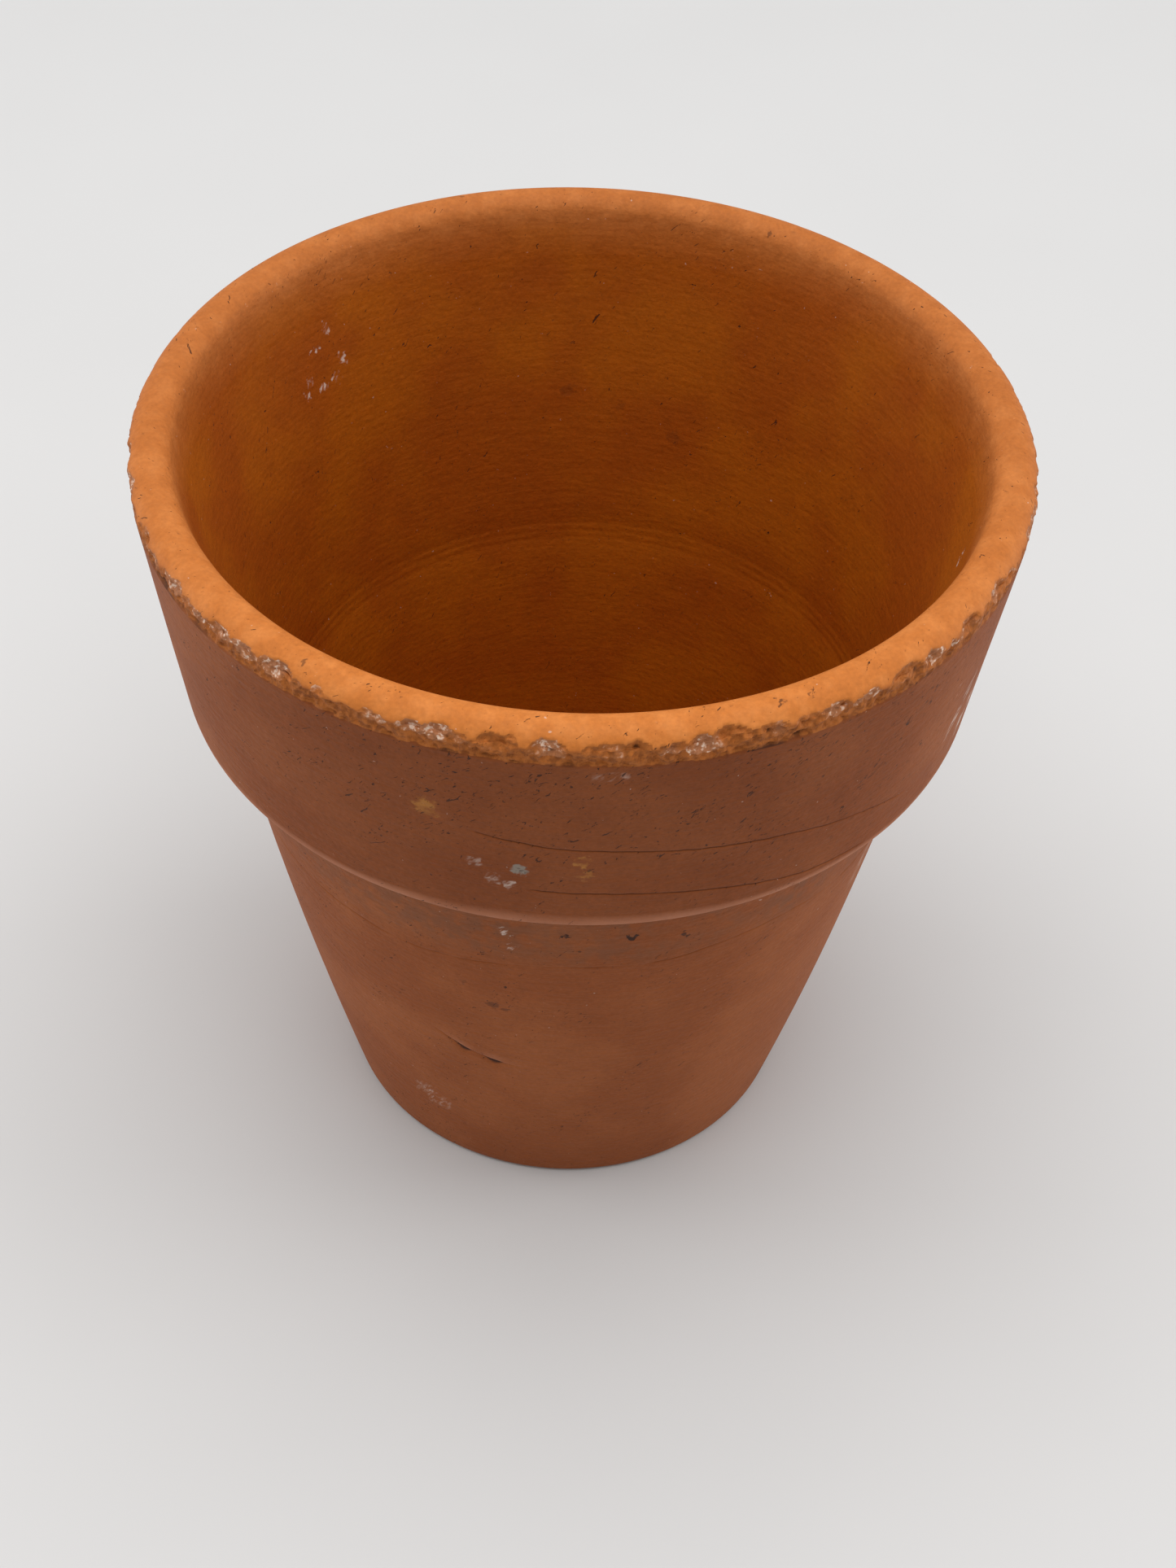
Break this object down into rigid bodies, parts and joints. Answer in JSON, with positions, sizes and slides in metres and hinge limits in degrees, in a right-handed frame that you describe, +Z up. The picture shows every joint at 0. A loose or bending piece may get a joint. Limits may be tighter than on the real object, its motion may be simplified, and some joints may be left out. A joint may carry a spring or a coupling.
{
  "type": "flower pot",
  "caption": "Tapered unglazed terracotta flower pot with a deep rim band, a rounded lip and a central drain hole in its floor.",
  "frame": {"origin": "centre of the underside, on the face the pot stands on", "axes": "+Z up along the pot's own axis, from the foot to the mouth; X and Y level, and the pot is round, so neither is marked on it"},
  "size_m": [0.14, 0.14, 0.139],
  "materials": {
    "terracotta": "matte unglazed fired clay, pitted, with a chipped rim edge and faint salt marks"
  },
  "bodies": {
    "root": {"pot": "terracotta"}
  },
  "joints": []
}
